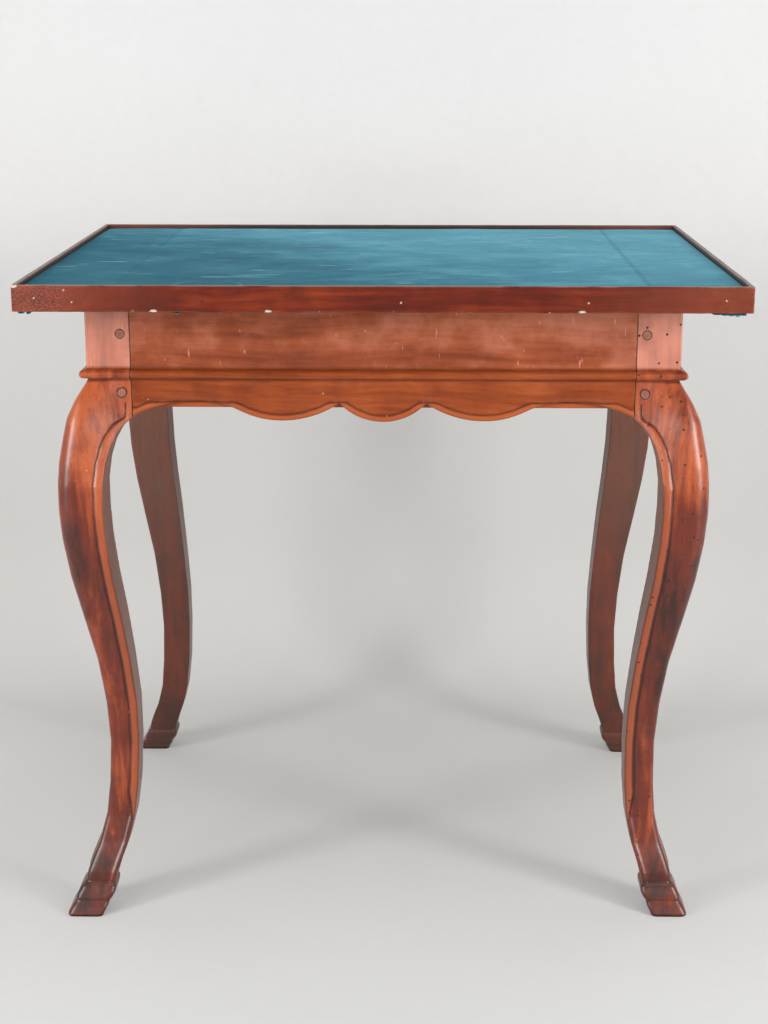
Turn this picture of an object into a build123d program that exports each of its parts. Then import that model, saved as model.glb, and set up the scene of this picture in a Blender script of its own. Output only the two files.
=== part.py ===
from build123d import *
import os
from math import asin, atan2, cos, hypot, sin, sqrt, tan

os.makedirs("parts", exist_ok=True)

# A card table with a rimmed, cloth-lined tray top that lifts off a pegged frame on four cabriole legs.
# Millimetres. The origin is on the floor under the middle of the table.
# +X runs to the right along the front, +Y to the back, +Z up.

# Overall sizes
table_height = 750.0
tray_length = 790.0
tray_depth = 610.0
tray_overhang = 65.0  # of the tray beyond the outer faces of the leg blocks, all round

# Tray top
rail_height = 29.0
rail_thickness = 5.5
board_thickness = 22.0
end_board_width = 100.0
front_board_share = 0.57  # of the depth inside the rails
tongue_length = 10.0
tongue_thickness = 7.0
tongue_clearance = 0.2
cloth_thickness = 1.0
lining_margin = 3.0  # bare edge left outside the cloth under the tray

# Brads that hold the rails
brad_width = 1.8
brad_length = 24.0
brad_clearance = 0.1
rail_brad_shares = (-0.92, -0.5, 0.02, 0.49, 0.9)  # places along half a rail
corner_brad_shares = (0.28, 0.72)  # heights on the rail
corner_brad_length = 20.0

# Leg blocks and aprons
leg_square = 50.0
block_edge_radius = 1.5
apron_thickness = 20.0
bead_height = 10.5
bead_projection = 7.5
bead_top_depth = 72.5  # from the top of the frame down to the bead
apron_seam_drop = 44.0  # from the bead down to the apron's lower edge at the leg

# Carved edge moulding on legs and aprons
moulding_width = 6.5
moulding_relief = 1.6

# Scalloped lower edge: drops below the bead, and places between the middle and the end arch
middle_lobe_drop = 49.0
side_lobe_drop = 48.0
arch_drop = 25.5
arch_run = 74.0  # from the seam with the leg to the top of the end arch
cusp_share = 0.235
side_lobe_share = 0.549
cusp_rise_share = 0.433  # of half the middle lobe's width, above its lowest point

# Tenons and draw pegs
tenon_thickness = 8.0
tenon_setback = 8.0  # from the outer face of the apron
tenon_length = 28.0
tenon_clearance = 0.2
tenon_end_clearance = 1.0
tenon_top_shoulder = 10.0
tenon_bottom_shoulder = 10.0
peg_diameter = 9.5
peg_sides = 12  # pegs and dowels are pared by hand, so they have flats
peg_inset = 11.0  # from the seam between leg and apron
peg_length = 29.0
peg_clearance = 0.05
upper_peg_drop = 33.0  # below the top of the frame
lower_peg_rise = 28.0  # above the apron's lower edge at the leg

# Dowels that locate the tray
dowel_diameter = 10.0
dowel_in_leg = 20.0
dowel_stand = 13.0
dowel_chamfer = 1.5
dowel_clearance = 0.5
dowel_hole_spare = 1.0

# Cabriole leg
knee_reach = 36.5  # how far the knee stands out from the block
knee_thickness = 55.0
knee_corner_radius = 22.0
hoof_height = 35.0
hoof_reach = 35.8
hoof_width = 43.0
hoof_corner_radius = 6.5
leg_lean = 12.0  # the most that any foot has moved in plan
cutting_overrun = 12.0

# Heights worked out from the sizes above
frame_top = table_height - rail_height - cloth_thickness
tray_bottom = frame_top + cloth_thickness
baize_bottom = tray_bottom + board_thickness
bead_top = frame_top - bead_top_depth
bead_bottom = bead_top - bead_height
seam_height = bead_bottom - apron_seam_drop
curve_height = bead_bottom - hoof_height
half_length = tray_length / 2 - tray_overhang
half_depth = tray_depth / 2 - tray_overhang

# Leg stations from the seam with the apron down to the shin: height on the curve, reach, thickness,
# corner radius, and how far the face stands out on the line of the apron's seam, as shares of curve
# height, knee reach, knee thickness, knee corner radius and knee reach
leg_station_shares = (
    (0.9136, 0.726, 1.227, 0.87, 0.05),
    (0.8978, 0.786, 1.14, 0.93, 0.12),
    (0.8779, 0.849, 1.064, 0.96, 0.25),
    (0.8472, 0.94, 1.024, 1, 0.52),
    (0.8056, 0.997, 1.002, 1, 0.85),
    (0.7558, 1, 1.004, 0.93, 0.98),
    (0.6977, 0.923, 0.982, 0.85, 0.923),
    (0.6229, 0.734, 0.942, 0.72, 0.734),
    (0.5399, 0.436, 0.869, 0.58, 0.436),
    (0.4485, 0.104, 0.765, 0.47, 0.104),
    (0.3571, -0.107, 0.715, 0.4, -0.107),
    (0.2741, -0.197, 0.676, 0.37, -0.197),
    (0.191, -0.162, 0.669, 0.36, -0.162),
)

# Ankle stations down to the hoof: height on the curve, reach, thickness and corner radius, as shares of
# curve height, hoof reach, hoof width and hoof corner radius
ankle_station_shares = (
    (0.1249, -0.067, 0.842, 1.22),
    (0.0749, 0.14, 0.856, 1.22),
    (0.0416, 0.363, 0.879, 1.24),
    (0.02, 0.486, 0.884, 1.27),
    (0.005, 0.528, 0.867, 1.24),
    (-0.0033, 0.503, 0.809, 1.15),
)

# Shoulder stations from the bead down to the seam: height between seam and bead, reach, corner radius,
# and how far the arch runs on past the seam before it is cut off there, as shares of the apron's
# seam drop, knee reach, knee corner radius and leg square
shoulder_shares = (
    (1.0, 0.0, 0.3, 0.2),
    (0.46, 0.42, 0.5, 0.2),
    (0.17, 0.584, 0.7, 0.2),
    (0.0, 0.675, 0.8, 0.0),
)

# Rounded profile of the apron's edge moulding, from its crest to its edge: distance from the crest and
# drop below it, as shares of half the moulding's width and of its relief
moulding_profile_shares = ((0.0, 0.0), (0.6, 0.34), (1.0, 1.0))

# Hoof sections, the roll at its top and the block it steps in to: height as a share of hoof height,
# outer reach as a share of hoof reach, width as a share of hoof width
hoof_shares = (
    (1.0, 0.53, 0.81),
    (0.92, 0.61, 0.96),
    (0.72, 0.71, 1.03),
    (0.53, 0.775, 1.0),
    (0.49, 0.765, 0.95),
    (0.3, 0.89, 1.0),
    (0.09, 1.0, 1.0),
    (0.0, 0.97, 0.95),
)

# How far each old leg has moved from its true place, at the knee and at the foot, along its own outward
# directions X and Y, as shares of the leg lean
leg_lean_shares = {
    "back_right": ((-0.58, -0.58), (-0.33, -0.75)),
    "back_left": ((-0.58, -0.58), (-0.75, -0.33)),
    "front_left": ((0.0, 0.0), (0.5, 1.0)),
    "front_right": ((0.0, 0.0), (0.0, -0.5)),
}
lean_knee_share = 0.8  # of the curve's height, where the knee's lean is full
lean_power = 3.0  # the foot's lean comes in late, towards the floor


def arch_turn():
    # How far the apron's end arch has turned down where it meets the leg
    return 2 * atan2(apron_seam_drop - arch_drop, arch_run)


def leg_stations():
    # Height, reach, inner edge, corner radius and level on the seam's line, from the bead down
    stations = []
    for rise, reach, corner, run_on in shoulder_shares:
        inner = -leg_square * (1 + run_on)
        height = seam_height + rise * apron_seam_drop
        stations.append((height, reach * knee_reach, inner, corner * knee_corner_radius, 0))
    for rise, reach, thickness, corner, seam_level in leg_station_shares:
        inner = reach * knee_reach - thickness * knee_thickness
        height = hoof_height + rise * curve_height
        level = seam_level * knee_reach
        stations.append((height, reach * knee_reach, inner, corner * knee_corner_radius, level))
    for rise, reach, thickness, corner in ankle_station_shares:
        inner = reach * hoof_reach - thickness * hoof_width
        height = hoof_height + rise * curve_height
        level = reach * hoof_reach
        stations.append((height, reach * hoof_reach, inner, corner * hoof_corner_radius, level))
    return stations


def lean_at(height, lean_shares):
    # How far a leg's section has moved in plan: nothing at the seam, then the knee's lean, then the foot's
    knee_height = hoof_height + lean_knee_share * curve_height
    knee_share = min(max((seam_height - height) / (seam_height - knee_height), 0), 1)
    foot_share = max((knee_height - height) / knee_height, 0) ** lean_power
    return [leg_lean * (knee * knee_share + (foot - knee) * foot_share) for knee, foot in zip(*lean_shares)]


def leg_section(place, reach, inner, corner, seam_level, band_width):
    # Square section with its rounded corner outwards; each outer face runs in from the corner to a
    # moulded band along its inner edge
    reach, corner, seam_level = reach - moulding_relief, corner - moulding_relief, seam_level - moulding_relief
    centre = reach - corner
    run, fall = centre + leg_square, centre - seam_level
    slope = atan2(fall, run) + asin(corner / hypot(fall, run))

    def on_face(x, stand_out):
        level = centre + corner * cos(slope) - (centre - corner * sin(slope) - x) * tan(slope)
        return x - stand_out * sin(slope), level + stand_out * cos(slope)

    touch = (centre - corner * sin(slope), centre + corner * cos(slope))
    crown = centre + corner / sqrt(2)
    crest = inner + band_width / 2
    half = [(across * band_width / 2, (1 - drop) * moulding_relief) for across, drop in moulding_profile_shares]
    band = [on_face(crest + across, rise) for across, rise in half[::-1]]
    band += [on_face(crest - across, rise) for across, rise in half[1:]]
    turned_band = [point[::-1] for point in band]
    with BuildSketch(Plane(origin=place)) as section:
        with BuildLine():
            Polyline(touch, *band, (inner, inner), *turned_band[::-1], touch[::-1])
            ThreePointArc(touch[::-1], (crown, crown), touch)
        make_face()
    return section.sketch


def leg_sections(lean_shares):
    stations = leg_stations()
    sections = []
    for index, station in enumerate(stations):
        above = stations[max(index - 1, 0)]
        below = stations[min(index + 1, len(stations) - 1)]
        fall = hypot(above[0] - below[0], above[2] - below[2]) / (above[0] - below[0])
        place = (*lean_at(station[0], lean_shares), station[0])
        sections.append(leg_section(place, *station[1:], moulding_width * fall))
    return sections


def bead_profile(plane):
    # Half-round bead drawn outwards from the face that carries it
    root = -bead_height / 2
    flat = bead_projection + root
    with BuildSketch(plane) as profile:
        with BuildLine():
            Polyline((flat, bead_top), (root, bead_top), (root, bead_bottom), (flat, bead_bottom))
            ThreePointArc((flat, bead_bottom), (bead_projection, bead_bottom - root), (flat, bead_top))
        make_face()
    return profile


def hoof_sections(lean_shares):
    sections = []
    for rise, reach, width in hoof_shares:
        middle = reach * hoof_reach - width * hoof_width / 2
        height = rise * hoof_height
        with BuildSketch(Plane(origin=(*lean_at(height, lean_shares), height))) as section:
            with Locations((middle, middle)):
                RectangleRounded(width * hoof_width, width * hoof_width, hoof_corner_radius)
        sections.append(section.sketch)
    return sections


def make_leg_blank(lean_shares):
    # One leg about its block's outer corner, with its outer faces towards +X and +Y
    with BuildPart() as blank:
        loft(leg_sections(lean_shares), ruled=True)
        with BuildSketch(Plane.XY.offset(seam_height - cutting_overrun)):
            with Locations((-2 * leg_square, -2 * leg_square)):
                Rectangle(4 * leg_square, 4 * leg_square, align=(Align.MIN, Align.MIN))
            with Locations((-leg_square, -leg_square)):
                Rectangle(4 * leg_square, 4 * leg_square, align=(Align.MIN, Align.MIN), mode=Mode.SUBTRACT)
        extrude(amount=apron_seam_drop + 2 * cutting_overrun, mode=Mode.SUBTRACT)
        with BuildSketch(Plane.XY.offset(bead_bottom)) as block_plan:
            Rectangle(leg_square, leg_square, align=(Align.MAX, Align.MAX))
            fillet(block_plan.vertices().group_by(Axis.X)[-1].sort_by(Axis.Y)[-1], block_edge_radius)
        extrude(amount=frame_top - bead_bottom)
        with BuildLine():
            bead_path = Polyline((-leg_square, 0), (0, 0), (0, -leg_square))
        sweep(bead_profile(Plane.YZ.offset(-leg_square)).sketch, bead_path, transition=Transition.RIGHT)
        loft(hoof_sections(lean_shares), ruled=True)
    return blank.part


def peg_place(index, height):
    # Plane across a peg, where it enters the face towards +Y or +X
    entry = knee_reach
    inset = peg_inset - leg_square
    if index == 0:
        return Plane(origin=(inset, entry, height), z_dir=(0, -1, 0))
    return Plane(origin=(entry, inset, height), z_dir=(-1, 0, 0))


peg_heights = (frame_top - upper_peg_drop, seam_height + lower_peg_rise)

# Draw pegs pared flush with the leg, one pair for each outer face; they sit above where any leg leans
straight_blank = make_leg_blank(leg_lean_shares["front_right"])
peg_pairs = []
for index in (0, 1):
    with BuildPart() as peg_pair:
        for height in peg_heights:
            with BuildSketch(peg_place(index, height)):
                RegularPolygon(peg_diameter / 2, peg_sides)
        extrude(amount=knee_reach + peg_length)
        add(straight_blank, mode=Mode.INTERSECT)
    peg_pairs.append(peg_pair.part)

mortise_bottom = seam_height + tenon_bottom_shoulder - tenon_clearance
mortise_top = frame_top - tenon_top_shoulder + tenon_clearance

# Everything cut into a leg: its two mortises, its peg holes and its dowel hole
with BuildPart() as leg_holes:
    for plane, side in ((Plane.XZ, -1), (Plane.YZ, 1)):
        with BuildSketch(plane.offset(side * (tenon_clearance - tenon_setback))):
            with Locations((-leg_square, mortise_bottom)):
                Rectangle(
                    2 * (tenon_length + tenon_end_clearance),
                    mortise_top - mortise_bottom,
                    align=(Align.CENTER, Align.MIN),
                )
        extrude(amount=-side * (tenon_thickness + 2 * tenon_clearance))
    for index in (0, 1):
        for height in peg_heights:
            with BuildSketch(peg_place(index, height)):
                RegularPolygon(peg_diameter / 2 + peg_clearance, peg_sides)
            extrude(amount=knee_reach + peg_length)
    with BuildSketch(Plane.XY.offset(frame_top)):
        with Locations((-leg_square / 2, -leg_square / 2)):
            RegularPolygon(dowel_diameter / 2 + peg_clearance, peg_sides)
    extrude(amount=-dowel_in_leg)

# The four corners in turn, each with the turn that points the leg outwards
corners = (
    ("back_right", Location((half_length, half_depth, 0), (0, 0, 0))),
    ("back_left", Location((-half_length, half_depth, 0), (0, 0, 90))),
    ("front_left", Location((-half_length, -half_depth, 0), (0, 0, 180))),
    ("front_right", Location((half_length, -half_depth, 0), (0, 0, 270))),
)
for corner, place in corners:
    with BuildPart() as leg:
        add(make_leg_blank(leg_lean_shares[corner]))
        add(leg_holes.part, mode=Mode.SUBTRACT)
    with BuildPart() as placed_leg:
        with Locations(place):
            add(leg.part)
    placed_leg.part.label = "leg_" + corner
    export_step(placed_leg.part, f"parts/leg_{corner}.step")

with BuildPart() as locating_dowels:
    dowel_x = half_length - leg_square / 2
    dowel_y = half_depth - leg_square / 2
    with BuildSketch(Plane.XY.offset(frame_top - dowel_in_leg)):
        with GridLocations(2 * dowel_x, 2 * dowel_y, 2, 2):
            RegularPolygon(dowel_diameter / 2, peg_sides)
    extrude(amount=dowel_in_leg + dowel_stand)
    chamfer(locating_dowels.faces().group_by(Axis.Z)[-1].edges(), dowel_chamfer)
locating_dowels.part.label = "locating_dowels"
export_step(locating_dowels.part, "parts/locating_dowels.step")


def arc_turn(start, end):
    # How far an arc that leaves level has turned where it ends
    return 2 * atan2(abs(end[1] - start[1]), abs(end[0] - start[0]))


def scallop_void(half_span, margin, depth_plane=Plane.XY):
    # The open space under the apron's lower edge, widened by a margin and carried a little past the legs
    reach = half_span - arch_run
    low = seam_height - 4 * cutting_overrun
    middle = (0, bead_bottom - middle_lobe_drop)
    cusp = (cusp_share * reach, middle[1] + cusp_rise_share * cusp_share * reach)
    lobe = (side_lobe_share * reach, bead_bottom - side_lobe_drop)
    arch = (reach, bead_bottom - arch_drop)
    ogee = ((lobe[0] + arch[0]) / 2, (lobe[1] + arch[1]) / 2)
    seam = (half_span, seam_height)

    def aside(point, sideways, up):
        return point[0] + margin * sideways, point[1] + margin * up

    left, right = arc_turn(middle, cusp), arc_turn(lobe, cusp)
    peak = 1 + cos(left + right)
    ogee_turn, seam_turn = arc_turn(lobe, ogee), arch_turn()
    cusp = aside(cusp, (sin(right) - sin(left)) / peak, (cos(right) + cos(left)) / peak)
    ogee = aside(ogee, -sin(ogee_turn), cos(ogee_turn))
    seam = aside(seam, sin(seam_turn), cos(seam_turn))
    middle, lobe, arch = aside(middle, 0, 1), aside(lobe, 0, 1), aside(arch, 0, 1)
    lead = (seam[0] + cutting_overrun * cos(seam_turn), seam[1] - cutting_overrun * sin(seam_turn))
    with BuildSketch(depth_plane) as void:
        with BuildLine():
            TangentArc(middle, cusp, tangent=(1, 0))
            TangentArc(lobe, cusp, tangent=(-1, 0))
            TangentArc(lobe, ogee, tangent=(1, 0))
            TangentArc(arch, ogee, tangent=(-1, 0))
            TangentArc(arch, seam, tangent=(1, 0))
            Polyline(seam, lead, (lead[0], low), (0, low))
            mirror(about=Plane.YZ)
        make_face()
    return void.sketch


def moulding_side(half_span, outer, direction):
    # The void with its edge sloped as one side of the moulding: -1 below the crest, 1 above it
    half = moulding_width / 2
    return [
        scallop_void(half_span, half + direction * across * half, outer.offset(drop * moulding_relief))
        for across, drop in moulding_profile_shares
    ]


def make_apron(half_span, face):
    # An apron across the back of the frame, its outer face at Y = face
    outer = Plane.XZ.offset(-face)
    low = seam_height - 2 * cutting_overrun
    tenon_bottom = seam_height + tenon_bottom_shoulder
    tenon_top = frame_top - tenon_top_shoulder
    with BuildPart() as field:
        with BuildSketch(outer):
            with Locations((0, bead_bottom)):
                Rectangle(2 * half_span, bead_bottom - low, align=(Align.CENTER, Align.MAX))
        extrude(amount=moulding_relief)
        loft(moulding_side(half_span, outer, 1), ruled=True, mode=Mode.SUBTRACT)
    with BuildPart() as apron:
        with BuildSketch(outer):
            with Locations((0, low)):
                Rectangle(2 * half_span, frame_top - low, align=(Align.CENTER, Align.MIN))
            add(scallop_void(half_span, 0), mode=Mode.SUBTRACT)
        extrude(amount=apron_thickness)
        loft(moulding_side(half_span, outer, -1), ruled=True, mode=Mode.SUBTRACT)
        add(field.part, mode=Mode.SUBTRACT)
        bead_plane = Plane(origin=(-half_span, face, 0), x_dir=(0, 1, 0), z_dir=(1, 0, 0))
        extrude(bead_profile(bead_plane).sketch, amount=2 * half_span)
        with BuildSketch(outer.offset(tenon_setback)):
            with Locations((0, tenon_bottom)):
                Rectangle(
                    2 * (half_span + tenon_length), tenon_top - tenon_bottom, align=(Align.CENTER, Align.MIN)
                )
        extrude(amount=tenon_thickness)
        for height in peg_heights:
            with BuildSketch(outer):
                with Locations((-half_span - peg_inset, height), (half_span + peg_inset, height)):
                    RegularPolygon(peg_diameter / 2 + peg_clearance, peg_sides)
            extrude(amount=peg_length, mode=Mode.SUBTRACT)
    return apron.part


long_apron = make_apron(half_length - leg_square, half_depth)
short_apron = make_apron(half_depth - leg_square, half_length)
sides = (("back", long_apron), ("left", short_apron), ("front", long_apron), ("right", short_apron))
for index, (side, apron) in enumerate(sides):
    with BuildPart() as placed_apron:
        with Locations(Location((0, 0, 0), (0, 0, 90 * index))):
            add(apron)
    placed_apron.part.label = "apron_" + side
    export_step(placed_apron.part, f"parts/apron_{side}.step")
    with BuildPart() as pegs:
        with Locations(corners[index][1]):
            add(peg_pairs[0])
        with Locations(corners[(index + 1) % 4][1]):
            add(peg_pairs[1])
    pegs.part.label = "pegs_" + side
    export_step(pegs.part, f"parts/pegs_{side}.step")

# Tray boards: two long boards between two end boards, tongued together
inner_length = tray_length - 2 * rail_thickness
inner_depth = tray_depth - 2 * rail_thickness
board_length = inner_length - 2 * end_board_width
seam_y = (front_board_share - 1 / 2) * inner_depth
tongue_middle = tray_bottom + board_thickness / 2
brad_z = tongue_middle
rail_brad_x = [share * inner_length / 2 for share in rail_brad_shares]
rail_brad_y = [share * inner_depth / 2 for share in rail_brad_shares]
corner_brad_x = tray_length / 2 - rail_thickness / 2
corner_brad_z = [tray_bottom + share * rail_height for share in corner_brad_shares]


def brads(side, width):
    # Square brads through one rail; side counts quarter turns from the back rail
    long_rail = side % 2 == 0
    face = tray_depth / 2 if long_rail else tray_length / 2
    places = rail_brad_x if long_rail else rail_brad_y
    with BuildPart() as group:
        with BuildSketch(Plane.XZ.offset(-face)):
            with Locations(*[(place, brad_z) for place in places]):
                Rectangle(width, width)
        extrude(amount=brad_length)
        if long_rail:
            with BuildSketch(Plane.XZ.offset(-face)):
                with Locations(*[(x, z) for x in (-corner_brad_x, corner_brad_x) for z in corner_brad_z]):
                    Rectangle(width, width)
            extrude(amount=corner_brad_length)
    with BuildPart() as turned:
        with Locations(Location((0, 0, 0), (0, 0, 90 * side))):
            add(group.part)
    return turned.part


brad_holes = [brads(side, brad_width + 2 * brad_clearance) for side in range(4)]
with BuildPart() as dowel_holes:
    with BuildSketch(Plane.XY.offset(tray_bottom)):
        with GridLocations(2 * dowel_x, 2 * dowel_y, 2, 2):
            RegularPolygon(dowel_diameter / 2 + dowel_clearance, peg_sides)
    extrude(amount=dowel_stand - cloth_thickness + dowel_hole_spare)
board_holes = [*brad_holes, dowel_holes.part]

side_names = ("back", "left", "front", "right")
for side, side_name in enumerate(side_names):
    brad_group = brads(side, brad_width)
    brad_group.label = "brads_" + side_name
    export_step(brad_group, f"parts/brads_{side_name}.step")


def block(low, high):
    # A straight board from its low corner to its high corner
    with BuildPart() as board:
        with BuildSketch(Plane.XY.offset(low[2])):
            with Locations(((low[0] + high[0]) / 2, (low[1] + high[1]) / 2)):
                Rectangle(high[0] - low[0], high[1] - low[1])
        extrude(amount=high[2] - low[2])
    return board.part


tongue_low = tongue_middle - tongue_thickness / 2
tongue_high = tongue_middle + tongue_thickness / 2
groove_low = tongue_low - tongue_clearance
groove_high = tongue_high + tongue_clearance
groove_depth = tongue_length + 2 * tongue_clearance

for side, sign in (("left", -1), ("right", 1)):
    with BuildPart() as end_board:
        inner_x = sign * board_length / 2
        outer_x = sign * inner_length / 2
        add(
            block(
                (min(inner_x, outer_x), -inner_depth / 2, tray_bottom),
                (max(inner_x, outer_x), inner_depth / 2, baize_bottom),
            )
        )
        groove_x = inner_x + sign * groove_depth
        add(
            block(
                (min(inner_x, groove_x), -inner_depth / 2, groove_low),
                (max(inner_x, groove_x), inner_depth / 2, groove_high),
            ),
            mode=Mode.SUBTRACT,
        )
        for holes in board_holes:
            add(holes, mode=Mode.SUBTRACT)
    end_board.part.label = "tray_end_" + side
    export_step(end_board.part, f"parts/tray_end_{side}.step")

with BuildPart() as front_board:
    add(block((-board_length / 2, -inner_depth / 2, tray_bottom), (board_length / 2, seam_y, baize_bottom)))
    add(
        block(
            (-board_length / 2 - tongue_length, -inner_depth / 2, tongue_low),
            (board_length / 2 + tongue_length, seam_y, tongue_high),
        )
    )
    add(
        block(
            (-board_length / 2, seam_y, tongue_low),
            (board_length / 2, seam_y + tongue_length, tongue_high),
        )
    )
    for holes in board_holes:
        add(holes, mode=Mode.SUBTRACT)
front_board.part.label = "tray_board_front"
export_step(front_board.part, "parts/tray_board_front.step")

with BuildPart() as back_board:
    add(block((-board_length / 2, seam_y, tray_bottom), (board_length / 2, inner_depth / 2, baize_bottom)))
    add(
        block(
            (-board_length / 2 - tongue_length, seam_y, tongue_low),
            (board_length / 2 + tongue_length, inner_depth / 2, tongue_high),
        )
    )
    add(
        block(
            (-board_length / 2 - tongue_length, seam_y, groove_low),
            (board_length / 2 + tongue_length, seam_y + groove_depth, groove_high),
        ),
        mode=Mode.SUBTRACT,
    )
    for holes in board_holes:
        add(holes, mode=Mode.SUBTRACT)
back_board.part.label = "tray_board_back"
export_step(back_board.part, "parts/tray_board_back.step")

# Rails: the front and back ones run full length and lap the ends of the side rails
rail_top = tray_bottom + rail_height
rail_boxes = (
    ("back", -tray_length / 2, inner_depth / 2, tray_length / 2, tray_depth / 2),
    ("left", -tray_length / 2, -inner_depth / 2, -inner_length / 2, inner_depth / 2),
    ("front", -tray_length / 2, -tray_depth / 2, tray_length / 2, -inner_depth / 2),
    ("right", inner_length / 2, -inner_depth / 2, tray_length / 2, inner_depth / 2),
)
for side, x_low, y_low, x_high, y_high in rail_boxes:
    with BuildPart() as rail:
        add(block((x_low, y_low, tray_bottom), (x_high, y_high, rail_top)))
        for holes in brad_holes:
            add(holes, mode=Mode.SUBTRACT)
    rail.part.label = "tray_rail_" + side
    export_step(rail.part, f"parts/tray_rail_{side}.step")

# Cloth on the boards inside the rails, and cloth under the tray with holes for the dowels
with BuildPart() as baize_top:
    add(
        block(
            (-inner_length / 2, -inner_depth / 2, baize_bottom),
            (inner_length / 2, inner_depth / 2, baize_bottom + cloth_thickness),
        )
    )
baize_top.part.label = "baize_top"
export_step(baize_top.part, "parts/baize_top.step")

with BuildPart() as baize_underside:
    with BuildSketch(Plane.XY.offset(frame_top)):
        Rectangle(tray_length - 2 * lining_margin, tray_depth - 2 * lining_margin)
        with GridLocations(2 * dowel_x, 2 * dowel_y, 2, 2):
            RegularPolygon(dowel_diameter / 2 + dowel_clearance, peg_sides, mode=Mode.SUBTRACT)
    extrude(amount=cloth_thickness)
baize_underside.part.label = "baize_underside"
export_step(baize_underside.part, "parts/baize_underside.step")
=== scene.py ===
import bpy
from math import floor, pi, sin, sqrt
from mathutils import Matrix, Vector, noise


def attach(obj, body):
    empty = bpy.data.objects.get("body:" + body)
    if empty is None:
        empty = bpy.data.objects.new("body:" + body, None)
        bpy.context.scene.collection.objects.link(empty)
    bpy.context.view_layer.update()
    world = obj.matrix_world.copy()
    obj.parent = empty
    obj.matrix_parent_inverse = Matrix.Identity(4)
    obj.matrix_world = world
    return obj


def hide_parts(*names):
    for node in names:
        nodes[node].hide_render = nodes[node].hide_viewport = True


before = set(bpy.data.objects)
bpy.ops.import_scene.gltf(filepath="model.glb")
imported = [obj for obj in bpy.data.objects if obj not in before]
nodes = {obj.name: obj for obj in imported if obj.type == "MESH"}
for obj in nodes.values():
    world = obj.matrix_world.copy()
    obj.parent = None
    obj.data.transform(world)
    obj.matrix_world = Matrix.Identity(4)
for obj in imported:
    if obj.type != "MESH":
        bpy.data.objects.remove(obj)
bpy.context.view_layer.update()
bpy.ops.object.select_all(action="DESELECT")
print("frame loaded,", len(nodes), "nodes")

# shader helpers


class Wire:
    # one socket, so that masks and blends are written as sums
    def __init__(self, kit, socket):
        self.kit = kit
        self.socket = socket

    def __add__(self, other):
        return self.kit.maths("ADD", self, other)

    def __sub__(self, other):
        return self.kit.maths("SUBTRACT", self, other)

    def __mul__(self, other):
        return self.kit.maths("MULTIPLY", self, other)

    def __rsub__(self, other):
        return self.kit.maths("SUBTRACT", other, self)

    def __abs__(self):
        return self.kit.maths("ABSOLUTE", self)

    __radd__ = __add__
    __rmul__ = __mul__


class NodeKit:
    # adds nodes to a material or to the world
    def __init__(self, tree):
        self.tree = tree

    def add(self, kind, settings=None, sockets=None, out=0):
        node = self.tree.nodes.new(kind)
        for setting, value in (settings or {}).items():
            if setting == "stops":
                ramp = node.color_ramp
                while len(ramp.elements) < len(value):
                    ramp.elements.new(0.5)
                for element, (position, colour) in zip(ramp.elements, value):
                    element.position = position
                    element.color = (*colour, 1)
            else:
                setattr(node, setting, value)
        for socket, value in (sockets or {}).items():
            if isinstance(value, Wire):
                self.tree.links.new(value.socket, node.inputs[socket])
            else:
                node.inputs[socket].default_value = value
        return Wire(self, node.outputs[out])

    def maths(self, operation, *values):
        return self.add("ShaderNodeMath", {"operation": operation}, dict(enumerate(values)))

    def vector(self, operation, *values, out=0):
        return self.add("ShaderNodeVectorMath", {"operation": operation}, dict(enumerate(values)), out)

    def larger(self, first, second):
        return self.maths("MAXIMUM", first, second)

    def axes(self, place):
        split = self.add("ShaderNodeSeparateXYZ", sockets={0: place})
        return [Wire(self, socket) for socket in split.socket.node.outputs]

    def noise(self, place, scale, detail=2.0, roughness=0.5):
        sockets = {"Vector": place, "Scale": scale, "Detail": detail, "Roughness": roughness}
        return self.add("ShaderNodeTexNoise", sockets=sockets)

    def stretched(self, place, shares):
        return self.vector("MULTIPLY", place, shares)

    def specks(self, place, scale, radius):
        # 1 inside a small ball about one point in each cell, 0 outside
        cell = self.add("ShaderNodeTexVoronoi", sockets={"Vector": place, "Scale": scale})
        return self.step(cell, radius * scale, radius * scale * 0.6)

    def step(self, value, low, high):
        # 0 at low, 1 at high, smooth between them
        settings = {"interpolation_type": "SMOOTHSTEP"}
        return self.add("ShaderNodeMapRange", settings, {0: value, 1: low, 2: high, 3: 0.0, 4: 1.0})

    def mix(self, share, first, second):
        first, second = [value if isinstance(value, Wire) else (*value, 1) for value in (first, second)]
        return self.add("ShaderNodeMix", {"data_type": "RGBA"}, {0: share, 6: first, 7: second}, out=2)

    def nook(self, distance, inside=False):
        # near 0 in crevices and near 1 in the open; from inside, near 0 at edges
        settings = {"samples": 8, "inside": inside}
        return self.add("ShaderNodeAmbientOcclusion", settings, {"Distance": distance}, out="AO")

    def facing(self, direction):
        # 1 where the surface faces the direction, 0 where it is side on
        normal = self.add("ShaderNodeNewGeometry", out="Normal")
        return self.vector("DOT_PRODUCT", normal, direction, out="Value")

    def seen(self):
        # 1 for what is seen straight, in a gloss or through glass
        rays = ("Is Camera Ray", "Is Glossy Ray", "Is Transmission Ray")
        camera, glossy, through = [self.add("ShaderNodeLightPath", out=ray) for ray in rays]
        return self.larger(self.larger(camera, glossy), through)


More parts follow.
